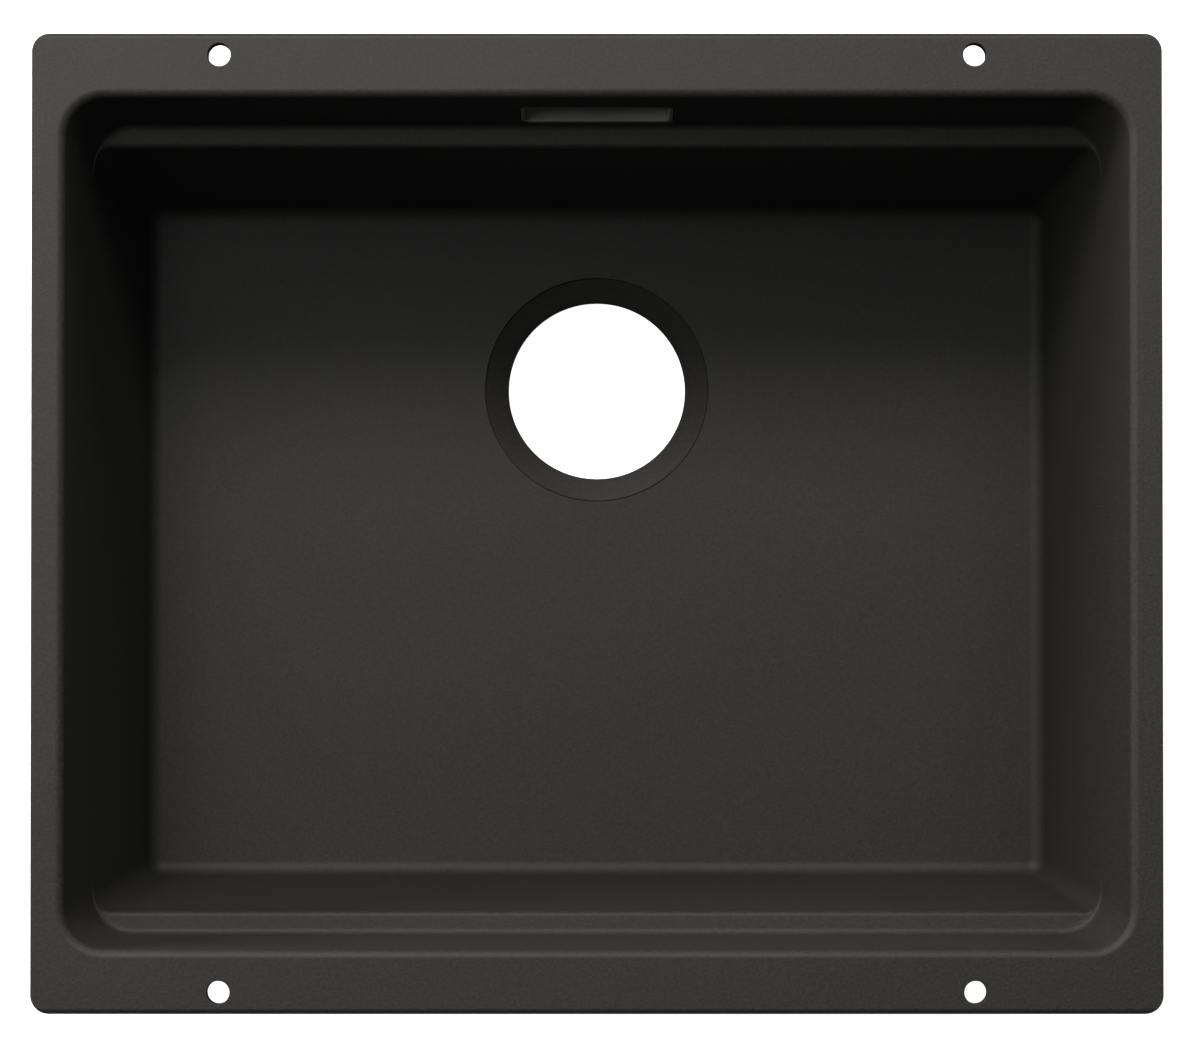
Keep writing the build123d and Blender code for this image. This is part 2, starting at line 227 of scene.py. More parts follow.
def plug(name: str, profile: Sequence[FlatPoint], middle_y: float, steps: int) -> Piece:
    """Solid of circles stacked on an upright axis, from radius and height pairs."""
    rings = [circle_ring(radius, height, middle_y, steps) for radius, height in profile]
    return loft(name, rings)


def throw_out(tool: Piece) -> None:
    """Removes a mesh and with it the object that carries it."""
    bpy.data.meshes.remove(tool.data)


def work_with(piece: Piece, tool: Piece, cut: Cut) -> None:
    """Works a piece with a tool, and throws the tool out.

    Args:
        piece: Closed mesh that is worked.
        tool: Closed mesh that works it.
        cut: What is done with the tool.
    """
    step = piece.modifiers.new("work", "BOOLEAN")
    step.operation = cut.value
    step.solver = "EXACT"
    step.object = tool
    bpy.context.view_layer.update()
    graph = bpy.context.evaluated_depsgraph_get()
    worked = bpy.data.meshes.new_from_object(piece.evaluated_get(graph))
    piece.modifiers.clear()
    old = piece.data
    name = old.name
    piece.data = worked
    bpy.data.meshes.remove(old)
    worked.name = name
    throw_out(tool)


def smooth(piece: Piece) -> None:
    """Cleans a mesh and shades it smooth between its creases, its flats kept flat.

    Args:
        piece: Mesh object to shade.
    """
    work = bmesh.new()
    work.from_mesh(piece.data)
    bmesh.ops.remove_doubles(work, verts=work.verts, dist=MERGE_GAP * MM)
    bmesh.ops.dissolve_degenerate(work, dist=MERGE_GAP * MM, edges=work.edges)
    work.to_mesh(piece.data)
    work.free()
    piece.data.shade_smooth()
    piece.data.set_sharp_from_angle(angle=math.radians(CREASE_ANGLE))
    weigh = piece.modifiers.new("flats_first", "WEIGHTED_NORMAL")
    weigh.mode = "FACE_AREA"
    weigh.keep_sharp = True


# ---- Finishes ----


class Graph:
    """Node graph of one material, with short calls to add and join nodes."""

    def __init__(self, name: str) -> None:
        """Starts an empty material with its output and its shader.

        Args:
            name: Name of the material.
        """
        self.material = bpy.data.materials.new(name)
        self.material.use_nodes = True
        self.tree = self.material.node_tree
        self.tree.nodes.clear()
        self.shader = self.add("ShaderNodeBsdfPrincipled")
        end = self.add("ShaderNodeOutputMaterial")
        self.join(self.shader, "BSDF", end, "Surface")
        place = self.add("ShaderNodeTexCoord")
        self.place = place.outputs["Object"]

    def add(self, kind: str, **settings: object) -> bpy.types.Node:
        """Adds a node.

        Args:
            kind: Type of the node.
            settings: Its properties or, failing that, its inputs.

        Returns:
            The node.
        """
        node = self.tree.nodes.new(kind)
        for key, value in settings.items():
            if hasattr(node, key):
                setattr(node, key, value)
            else:
                node.inputs[key.replace("_", " ").title()].default_value = value
        return node

    def join(self, source: bpy.types.Node, output: str, target: bpy.types.Node, entry: str) -> None:
        """Joins an output of one node to an input of another."""
        self.tree.links.new(source.outputs[output], target.inputs[entry])

    def set_shader(self, **values: object) -> None:
        """Sets the shader's own sockets; underscores in the names stand for spaces."""
        for key, value in values.items():
            self.shader.inputs[key.replace("_", " ")].default_value = value

    def noise(self, grain: float, detail: float = 2.0, rough: float = 0.5) -> Socket:
        """Noise in the object's own space.

        Args:
            grain: Size of one grain in millimetres.
            detail: Finer layers added to it.
            rough: Strength of the finer layers.

        Returns:
            Its value output, about 0 to 1.
        """
        node = self.add("ShaderNodeTexNoise", scale=1 / (grain * MM), detail=detail, roughness=rough)
        self.tree.links.new(self.place, node.inputs["Vector"])
        return node.outputs["Fac"]

    def cells(self, size: float) -> Socket:
        """Chips packed like gravel.

        Args:
            size: Size of one chip in millimetres.

        Returns:
            An output with one random value for each chip, 0 to 1.
        """
        node = self.add("ShaderNodeTexVoronoi", scale=1 / (size * MM))
        self.tree.links.new(self.place, node.inputs["Vector"])
        split = self.add("ShaderNodeSeparateColor")
        self.join(node, "Color", split, "Color")
        return split.outputs["Red"]

    def ramp(self, value: Socket, stops: Sequence[tuple[float, Colour]]) -> Socket:
        """Colour ramp over a value.

        Args:
            value: What drives it.
            stops: Places from 0 to 1, each with its colour.

        Returns:
            The ramp's colour output.
        """
        node = self.add("ShaderNodeValToRGB")
        while len(node.color_ramp.elements) < len(stops):
            node.color_ramp.elements.new(0.5)
        for element, (place, colour) in zip(node.color_ramp.elements, stops):
            element.position = place
            element.color = (*colour, 1)
        self.tree.links.new(value, node.inputs["Fac"])
        return node.outputs["Color"]

    def spread(
        self, value: Socket, low: float, high: float, start: float = 0.25, end: float = 0.75
    ) -> Socket:
        """Maps a value's middle range onto another range.

        Args:
            value: What is mapped.
            low: Result at start.
            high: Result at end.
            start: Value that gives low.
            end: Value that gives high.

        Returns:
            The mapped value's output.
        """
        ranges = {"from_min": start, "from_max": end, "to_min": low, "to_max": high}
        node = self.add("ShaderNodeMapRange", **ranges)
        self.tree.links.new(value, node.inputs["Value"])
        return node.outputs["Result"]

    def multiply(self, colour: Socket, value: Socket) -> Socket:
        """Makes a colour lighter or darker.

        Args:
            colour: The colour.
            value: What it is multiplied by.

        Returns:
            The new colour's output.
        """
        node = self.add("ShaderNodeVectorMath", operation="SCALE")
        self.tree.links.new(colour, node.inputs["Vector"])
        self.tree.links.new(value, node.inputs["Scale"])
        return node.outputs["Vector"]

    def feed(self, value: Socket, entry: str) -> None:
        """Feeds a value into one of the shader's sockets."""
        self.tree.links.new(value, self.shader.inputs[entry])

    def roughen(self, value: Socket, roughness: float, play: tuple[float, float]) -> None:
        """Sets the roughness, which plays about its middle with a value."""
        self.feed(self.spread(value, roughness + play[0], roughness + play[1]), "Roughness")

    def relief(self, layers: Sequence[tuple[Socket, float]]) -> None:
        """Adds bump, one layer on another.

        Args:
            layers: Heights, 0 to 1, each with its depth in millimetres.
        """
        below = None
        for height, depth in layers:
            node = self.add("ShaderNodeBump", distance=depth * MM)
            self.tree.links.new(height, node.inputs["Height"])
            if below is not None:
                self.join(below, "Normal", node, "Normal")
            below = node
        self.join(below, "Normal", self.shader, "Normal")


@dataclass(frozen=True)
class GraniteComposite:
    """Dark, faintly warm composite: fine mineral grain in a matt resin.

    Chips and patches are sized in grains, each contrast is a share of the tone, and
    the chips' depth is a share of the grain's.
    """

    name: str = "granite_composite"
    tone: Colour = (0.0232, 0.0222, 0.021)
    roughness: float = 0.64
    roughness_play: tuple[float, float] = (-0.05, 0.05)
    grain: float = 1.35
    chip_size: float = 0.9
    patch_size: float = 60.0
    contrast: float = 0.34
    chip_contrast: float = 0.12
    patch_contrast: float = 0.03
    depth: float = 0.075
    chip_depth: float = 0.3

    def make(self) -> Material:
        """Builds the finish.

        Returns:
            Its material.
        """
        graph = Graph(self.name)
        fine = graph.noise(self.grain, detail=2, rough=0.6)
        broad = graph.noise(self.patch_size * self.grain, detail=2)
        chips = graph.cells(self.chip_size * self.grain)
        dark = tuple(part * (1 - self.contrast) for part in self.tone)
        light = tuple(part * (1 + self.contrast) for part in self.tone)
        colour = graph.ramp(fine, ((0.3, dark), (0.7, light)))
        chip_tones = graph.spread(chips, 1 - self.chip_contrast, 1 + self.chip_contrast, 0, 1)
        colour = graph.multiply(colour, chip_tones)
        patch_tones = graph.spread(broad, 1 - self.patch_contrast, 1 + self.patch_contrast)
        colour = graph.multiply(colour, patch_tones)
        graph.feed(colour, "Base Color")
        graph.roughen(fine, self.roughness, self.roughness_play)
        graph.set_shader(IOR=1.5)
        graph.relief(((fine, self.depth), (chips, self.chip_depth * self.depth)))
        return graph.material


@dataclass(frozen=True)
class MouldedPlastic:
    """Injection-moulded plastic with a fine spark-eroded texture and faint flow marks."""

    name: str
    tone: Colour
    roughness: float = 0.42
    texture_size: float = 0.35
    texture_depth: float = 0.012
    flow_size: float = 14.0
    flow_depth: float = 0.05
    flow_tones: tuple[float, float] = (0.93, 1.06)
    flow_play: tuple[float, float] = (-0.05, 0.07)

    def make(self) -> Material:
        """Builds the finish.

        Returns:
            Its material.
        """
        graph = Graph(self.name)
        texture = graph.noise(self.texture_size, detail=2)
        flow = graph.noise(self.flow_size, detail=3)
        deeper, paler = (tuple(part * share for part in self.tone) for share in self.flow_tones)
        graph.feed(graph.ramp(flow, ((0.3, deeper), (0.7, paler))), "Base Color")
        graph.roughen(flow, self.roughness, self.flow_play)
        graph.set_shader(IOR=1.49)
        graph.relief(((texture, self.texture_depth), (flow, self.flow_depth)))
        return graph.material


@dataclass(frozen=True)
class MouldedRubber:
    """Soft rubber with a dull bloom and a finely pitted skin."""

    name: str
    tone: Colour
    roughness: float = 0.7
    pit_size: float = 0.5
    pit_depth: float = 0.02
    bloom_size: float = 9.0
    bloom_share: float = 1.35
    bloom_dust: float = 0.004
    bloom_play: tuple[float, float] = (-0.06, 0.08)

    def make(self) -> Material:
        """Builds the finish.

        Returns:
            Its material.
        """
        graph = Graph(self.name)
        pits = graph.noise(self.pit_size, detail=2)
        bloom = graph.noise(self.bloom_size, detail=3)
        dusty = tuple(part * self.bloom_share + self.bloom_dust for part in self.tone)
        graph.feed(graph.ramp(bloom, ((0.4, self.tone), (0.75, dusty))), "Base Color")
        graph.roughen(bloom, self.roughness, self.bloom_play)
        graph.set_shader(IOR=1.52)
        graph.relief(((pits, self.pit_depth),))
        return graph.material


@dataclass(frozen=True)
class WorkedMetal:
    """Metal with fine lines left by turning, stamping or drawing."""

    name: str
    tone: Colour
    roughness: float = 0.28
    line_size: float = 0.25
    line_depth: float = 0.008
    line_play: tuple[float, float] = (-0.08, 0.12)
    stain_size: float = 5.0
    stain_tone: float = 0.82

    def make(self) -> Material:
        """Builds the finish.

        Returns:
            Its material.
        """
        graph = Graph(self.name)
        lines = graph.noise(self.line_size, detail=4, rough=0.7)
        stain = graph.noise(self.stain_size, detail=3)
        duller = tuple(part * self.stain_tone for part in self.tone)
        graph.feed(graph.ramp(stain, ((0.35, duller), (0.65, self.tone))), "Base Color")
        graph.roughen(lines, self.roughness, self.line_play)
        graph.set_shader(Metallic=1.0)
        graph.relief(((lines, self.line_depth),))
        return graph.material


# ---- Casting ----


@dataclass(frozen=True)
class Wall:
    """One sloping wall in section, eased into a level face above and one below.

    top and bottom are the heights of those faces. reach is how far the wall's
    straight line stands from the middle of the bowl at the height of the top face.
    """

    top: float
    reach: float
    draft: float
    lip_round: float
    bottom: float
    foot_round: float

    def line(self, height: float) -> float:
        """Distance from the middle to the wall's straight line."""
        return self.reach - (self.top - height) * math.tan(math.radians(self.draft))

    def reach_at(self, height: float) -> float:
        """Distance from the middle to the wall itself, rounds included.

        Args:
            height: Level at which it is measured.

        Returns:
            The distance in millimetres.
        """
        lean = math.radians(self.draft)
        lip_axis = self.top - self.lip_round
        foot_axis = self.bottom + self.foot_round
        if height > lip_axis + self.lip_round * math.sin(lean):
            centre = self.line(lip_axis) + self.lip_round / math.cos(lean)
            return centre - math.sqrt(max(self.lip_round**2 - (height - lip_axis) ** 2, 0))
        if height < foot_axis - self.foot_round * math.sin(lean):
            centre = self.line(foot_axis) - self.foot_round / math.cos(lean)
            return centre + math.sqrt(max(self.foot_round**2 - (foot_axis - height) ** 2, 0))
        return self.line(height)

    def heights(self, steps: int) -> list[float]:
        """Heights of the rings that draw the wall, from the top down.

        Args:
            steps: Flats in which each round is drawn.

        Returns:
            The heights, with one halfway down the straight stretch.
        """
        turn = [
            math.sin(math.radians(self.draft + (90 - self.draft) * step / steps))
            for step in range(steps + 1)
        ]
        lip = [self.top - self.lip_round * (1 - part) for part in reversed(turn)]
        foot = [self.bottom + self.foot_round * (1 - part) for part in turn]
        return lip + [(lip[-1] + foot[0]) / 2] + foot


Walls = tuple[Wall, Wall, Wall]


@dataclass
class Casting:
    """The bowl, cast in one with its flange, ledges, drain seat and rear pad.

    seat lists the radii of the drain's cutter, each with its height above the floor.
    fixing holds the spacing of the fixing holes and their radius, and fixing_edge
    what their cutter adds to that radius, each with its height. window holds the
    lining's clear width, height and corner radius, and rear_cut where cutters run.
    """

    finish: GraniteComposite
    length: float = 530.0
    width: float = 460.0
    thickness: float = 7.5
    flange_corner: float = 9.0
    edge_round: float = 2.8
    depth: float = 190.0
    floor_thickness: float = 13.0
    wall: float = 8.5
    half_mouth: tuple[float, float] = (250.0, 200.0)
    mouth_rise: float = 5.0
    mouth_corner: float = 19.0
    ledge_corner: float = 20.0
    lower_corner: float = 8.0
    floor_corner: float = 11.0
    side_draft: float = 7.0
    upper_draft: float = 5.0
    lower_draft: float = 6.55
    rim_round: float = 4.3
    floor_round: float = 7.8
    ledge_drop: float = 60.0
    ledge_fall: float = 0.4
    ledge_width: float = 10.8
    ledge_foot: float = 3.5
    ledge_lip: float = 2.8
    skin_draft: float = 6.5
    skin_root: float = 6.0
    skin_foot: float = 14.0
    step_round: float = 5.0
    step_fall: float = 4.0
    drain_y: float = 77.5
    seat: tuple[FlatPoint, ...] = (
        (57.0, 5.0), (57.0, -2.7), (56.55, -2.7), (56.45, -2.1), (56.3, -2.05),
        (45.6, -7.7), (45.15, -8.1), (45.0, -8.6), (45.0, -30.0),
    )
    fixing: tuple[float, float, float] = (354.4, 439.5, 5.35)
    fixing_edge: tuple[FlatPoint, ...] = (
        (0.5, 1.0), (0.5, 0.0), (0.15, -0.15), (0.0, -0.5), (0.0, -20.0),
    )
    window_drop: float = 38.8
    window: tuple[float, float, float] = (69.0, 29.0, 2.8)
    window_ease: float = 2.2
    rear_cut: tuple[float, float] = (185.0, 230.0)
    pad_root: float = 195.0
    pad_face: float = 209.376
    pad_foot: float = -65.9
    pad_width: float = 124.0
    pad_corner: float = 6.0
    screw_spacing: float = 104.0
    insert_radius: float = 3.55
    insert_depth: float = 8.3
    overrun: float = 1.0
    lead_length: float = 6.0
    lead_steps: int = 8
    hole_steps: int = 8
    round_steps: int = 12
    corner_steps: int = 20
    fixing_steps: int = 48
    seat_steps: int = 128

    def walls(self) -> Walls:
        """Works out the walls of the lining.

        Returns:
            Its side, upper and lower wall.
        """
        reach_x, reach_y = self.half_mouth
        floor, ledge = -self.depth, -self.ledge_drop
        side = Wall(0, reach_x, self.side_draft, self.rim_round, floor, self.floor_round)
        upper = Wall(0, reach_y, self.upper_draft, self.rim_round, ledge, self.ledge_foot)
        lip, reach = ledge - self.ledge_fall, upper.line(ledge) - self.ledge_width
        lower = Wall(lip, reach, self.lower_draft, self.ledge_lip, floor, self.floor_round)
        return side, upper, lower

    def inner_corner(self, wall: Wall, height: float) -> float:
        """Corner radius of the lining: wide above the ledge and tight below it.

        Args:
            wall: Upper or lower wall.
            height: Level of the corner.

        Returns:
            The radius in millimetres.
        """
        ease = wall.reach_at(height) - wall.line(height)
        if wall.top < 0:
            return self.lower_corner + min(ease, 0)
        widening = (self.ledge_corner - self.mouth_corner) * -height / self.ledge_drop
        return self.mouth_corner + widening + max(ease, 0)

    def outer_corner(self, wall: Wall, height: float) -> float:
        """Corner radius of the outside, which narrows evenly with depth.

        Args:
            wall: Upper or lower wall.
            height: Level of the corner.

        Returns:
            The radius in millimetres.
        """
        ease = wall.reach_at(height) - wall.line(height)
        narrowing = (self.floor_corner - self.mouth_corner) * -height / self.depth
        return self.mouth_corner + narrowing + self.wall + ease

    def skin_reach(self, wall: Wall, height: float) -> float:
        """Distance from the middle to the outside of a wall of the lining."""
        return wall.line(height) + self.wall / math.cos(math.radians(wall.draft))

    def skins(self) -> Walls:
        """Works out the walls of the outside.

        Returns:
            Its side, upper and lower wall.
        """
        side, upper, lower = self.walls()
        under, base = -self.thickness, -self.depth - self.floor_thickness
        step = -self.ledge_drop - self.wall
        edge = step - self.step_fall
        side_reach, upper_reach = self.skin_reach(side, under), self.skin_reach(upper, under)
        lower_reach = self.skin_reach(lower, edge)
        return (
            Wall(under, side_reach, self.side_draft, self.skin_root, base, self.skin_foot),
            Wall(under, upper_reach, self.upper_draft, self.skin_root, step, self.step_round),
            Wall(edge, lower_reach, self.skin_draft, self.step_round, base, self.skin_foot),
        )

    def form(
        self,
        name: str,
        walls: Walls,
        corner: Callable[[Wall, float], float],
        mouth: float,
    ) -> Piece:
        """Solid bowl form, skinned over level rings.

        Below the ledge the rings keep within the outline that the ledge ends at.

        Args:
            name: Name of the object.
            walls: Side, upper and lower wall.
            corner: Gives the corner radius of a wall at a height.
            mouth: Height up to which the form runs on above its first ring.

        Returns:
            The closed mesh.
        """
        side, upper, lower = walls
        ledge = upper.bottom
        limit = (side.reach_at(ledge), upper.reach_at(ledge), corner(upper, ledge))
        rings: list[Outline] = []
        for wall in (upper, lower):
            for height in wall.heights(self.round_steps):
                reach = side.reach_at(height), wall.reach_at(height)
                outline = rounded_outline(*reach, corner(wall, height), self.corner_steps)
                outline = led_in(outline, self.lead_length, self.lead_steps)
                if wall is lower:
                    outline = held_in(outline, *limit)
                rings.append([(x, y, height) for x, y in outline])
        rings.insert(0, [(x, y, mouth) for x, y, _ in rings[0]])
        return loft(name, rings)

    def quarter(self, side: int) -> list[float]:
        """Angles over a quarter turn, rising where side is below zero and else falling."""
        turns = [math.pi / 2 * step / self.round_steps for step in range(self.round_steps + 1)]
        return turns if side < 0 else turns[::-1]

    def flange(self) -> Piece:
        """Flange plate; its front and rear top edges are rounded over.

        Returns:
            The closed mesh.
        """
        half_x, half_y, ease = self.length / 2, self.width / 2, self.edge_round
        plan = rounded_outline(half_x, half_y, self.flange_corner, self.corner_steps)
        plate = loft("flange", [[(x, y, z) for x, y in plan] for z in (0, -self.thickness)])
        under = -self.thickness - self.overrun
        section = [(-half_y, under)]
        for side in (-1, 1):
            middle = side * (half_y - ease)
            for turn in self.quarter(side):
                across = middle + side * ease * math.cos(turn)
                section.append((across, -ease + ease * math.sin(turn)))
        section.append((half_y, under))
        bar = loft("bar", [[(x, y, z) for y, z in section] for x in (-self.length, self.length)])
        work_with(plate, bar, Cut.KEEP_COMMON)
        return plate

    def prism(self, name: str, outline: Sequence[FlatPoint], front: float, back: float) -> Piece:
        """Prism from front to back over an outline in X and Z."""
        return loft(name, [[(x, y, z) for x, z in outline] for y in (front, back)])

    def pad(self) -> Piece:
        """Flat pad on the back that the overflow is screwed to.

        Returns:
            The closed mesh.
        """
        half, top, corner = self.pad_width / 2, -self.thickness / 2, self.pad_corner
        outline = [(half, top), (-half, top)]
        for side in (-1, 1):
            for turn in self.quarter(side):
                across = side * (half - corner + corner * math.cos(turn))
                outline.append((across, self.pad_foot + corner * (1 - math.sin(turn))))
        return self.prism("pad", outline, self.pad_root, self.pad_face)

    def drain(self) -> Piece:
        """Tool that cuts the drain hole and its stepped, conical seat."""
        profile = [(radius, height - self.depth) for radius, height in self.seat]
        return plug("drain", profile, self.drain_y, self.seat_steps)

    def fixings(self) -> Iterable[Piece]:
        """Makes the tools that bore the fixing holes and break their top edges.

        Returns:
            The four closed mesh objects.
        """
        spacing_x, spacing_y, radius = self.fixing
        profile = [(radius + growth, height) for growth, height in self.fixing_edge]
        for side_x in (-1, 1):
            for side_y in (-1, 1):
                tool = plug("bore", profile, side_y * spacing_y / 2, self.fixing_steps)
                for vertex in tool.data.vertices:
                    vertex.co.x += side_x * spacing_x / 2 * MM
                yield tool

    def rear_cuts(self) -> Iterable[Piece]:
        """Makes the tools for the overflow window and the holes of the two inserts.

        Returns:
            The three closed mesh objects.
        """
        front, back = self.rear_cut
        half_x, half_z, corner = self.window[0] / 2, self.window[1] / 2, self.window[2]
        ease, drop = self.window_ease, self.window_drop
        outline = rounded_outline(half_x + ease, half_z + ease, corner + ease, self.hole_steps)
        yield self.prism("window", [(x, z - drop) for x, z in outline], front, back)
        radius = self.insert_radius
        circle = rounded_outline(radius, radius, radius - ROUND_GAP, self.hole_steps)
        for side in (-1, 1):
            hole = [(side * self.screw_spacing / 2 + x, z - drop) for x, z in circle]
            yield self.prism("insert_hole", hole, self.pad_face - self.insert_depth, back)

    def build(self) -> list[str]:
        """Builds the casting, dresses it and puts it over its CAD node.

        Returns:
            A line for the log.
        """
        piece = self.flange()
        skin = self.form("skin", self.skins(), self.outer_corner, -self.thickness / 2)
        work_with(piece, skin, Cut.JOIN)
        work_with(piece, self.pad(), Cut.JOIN)
        hollow = self.form("hollow", self.walls(), self.inner_corner, self.mouth_rise)
        work_with(piece, hollow, Cut.TAKE_AWAY)
        for tool in (self.drain(), *self.fixings(), *self.rear_cuts()):
            work_with(piece, tool, Cut.TAKE_AWAY)
        piece.name = piece.data.name = "casting"
        piece.data.materials.append(self.finish.make())
        smooth(piece)
        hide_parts("sink_bowl")
        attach(piece, Body.SINK.value)
        return [f"{piece.name}: {len(piece.data.polygons)} faces"]


# ---- Overflow ----


def dress(node: str, material: Material, edge_round: float) -> str:
    """Gives a carried CAD node a material and eases its edges.

    Args:
        node: Name of the CAD node.
        material: What it is made of.
        edge_round: Radius in millimetres that its sharp edges are eased by.

    Returns:
        A line for the log.
    """
    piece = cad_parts[node]
    piece.data.materials.clear()
    piece.data.materials.append(material)
    piece.data.shade_smooth()
    weld = piece.modifiers.new("join_facets", "WELD")
    weld.merge_threshold = FACET_GAP * MM
    ease = piece.modifiers.new("eased_edges", "BEVEL")
    ease.width = edge_round * MM
    ease.segments = 2
    ease.limit_method = "ANGLE"
    ease.angle_limit = math.radians(BEVEL_ANGLE)
    ease.use_clamp_overlap = True
    ease.harden_normals = True
    return f"{node}: dressed in {material.name}"


def cut_outline(width: float, depth: float, leg: float, middle: float, level: float) -> Outline:
    """Points of a level rectangle with its corners cut off at 45 degrees.

    Args:
        width: Its size in X.
        depth: Its size in Y.
        leg: How far each corner is cut back along both sides.
        middle: Where its middle stands in Y.
        level: Its height.

    Returns:
        Eight points, anticlockwise.
    """
    side, end = width / 2, depth / 2
    quarter = [(side, end - leg), (side - leg, end)]
    half = quarter + [(-x, y) for x, y in reversed(quarter)]
    return [(x, middle + y, level) for x, y in half + [(-x, -y) for x, y in half]]


def bead(name: str, path: Sequence[Point], closed: bool) -> Piece:
    """Thin rounded bead along a path whose corners it mitres.

    Args:
        name: Name of the object.
        path: Points of its middle line.
        closed: Whether the path runs back to its start.

    Returns:
        The mesh.
    """
    points = [Vector(point) for point in path]
    count = len(points)
    flat = (points[1] - points[0]).cross(points[count // 2] - points[0]).normalized()
    rings: list[Outline] = []
    for number, point in enumerate(points):
        before = points[number - 1] if closed or number else point
        after = points[(number + 1) % count] if closed or number < count - 1 else point
        into, out = (point - before).normalized(), (after - point).normalized()
        along = (into + out).normalized()
        outward = along.cross(flat)
        bend = into.length and out.length
        reach = BEAD_RADIUS / max(MITRE_LIMIT, along.dot(out)) if bend else BEAD_RADIUS
        ring = []
        for step in range(BEAD_FLATS):
            turn = math.tau * step / BEAD_FLATS
            offset = outward * reach * math.cos(turn) + flat * BEAD_RADIUS * math.sin(turn)
            ring.append(tuple(point + offset))
        rings.append(ring)
    return loft(name, rings, closed_ends=not closed)


def take_in(piece: Piece, other: Piece) -> None:
    """Adds another object's mesh to a piece as it is, and throws that object out.

    Args:
        piece: Mesh object that takes the mesh in.
        other: Mesh object that gives it.
    """
    work = bmesh.new()
    work.from_mesh(piece.data)
    work.from_mesh(other.data)
    work.to_mesh(piece.data)
    work.free()
    throw_out(other)


@dataclass
class OverflowBox:
    """Plate, chamber and cover of the overflow, their gasket and the cover's weld."""

    plastic: Material
    rubber: Material
    half_width: float = 36.5
    top: float = -22.3
    top_bevel: float = 1.0
    foot: float = -65.9
    seam_y: float = 217.876

    def seam(self) -> Piece:
        """Lays a bead where the cover was welded on, up one side and down the other.

        Returns:
            The mesh.
        """
        side, bevel = -self.half_width, self.top_bevel
        left = [(side, self.foot), (side, self.top - bevel), (side + bevel, self.top)]
        around = left + [(-x, z) for x, z in reversed(left)]
        path = [(x, self.seam_y, z) for x, z in around]
        return bead("cover_weld", path, closed=False)

    def build(self) -> list[str]:
        """Dresses the CAD nodes and lays the weld.

        Returns:
            Lines for the log, one for each piece.
        """
        lines = [
            dress("overflow_collector", self.plastic, edge_round=0.4),
            dress("overflow_cover", self.plastic, edge_round=0.4),
            dress("overflow_gasket", self.rubber, edge_round=0.3),
        ]
        weld = self.seam()
        weld.data.materials.append(self.plastic)
        smooth(weld)
        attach(weld, Body.SINK.value)
        return lines + [f"{weld.name}: {len(weld.data.polygons)} faces"]


@dataclass
class Fastening:
    """Screws, washers and cast-in inserts that hold the overflow."""

    steel: Material
    brass: Material

    def build(self) -> list[str]:
        """Dresses the CAD nodes.

        Returns:
            Lines for the log, one for each piece.
        """
        return [
            dress("overflow_washers", self.steel, edge_round=0.15),
            dress("overflow_screws", self.steel, edge_round=0.2),
            dress("overflow_inserts", self.brass, edge_round=0.2),
        ]


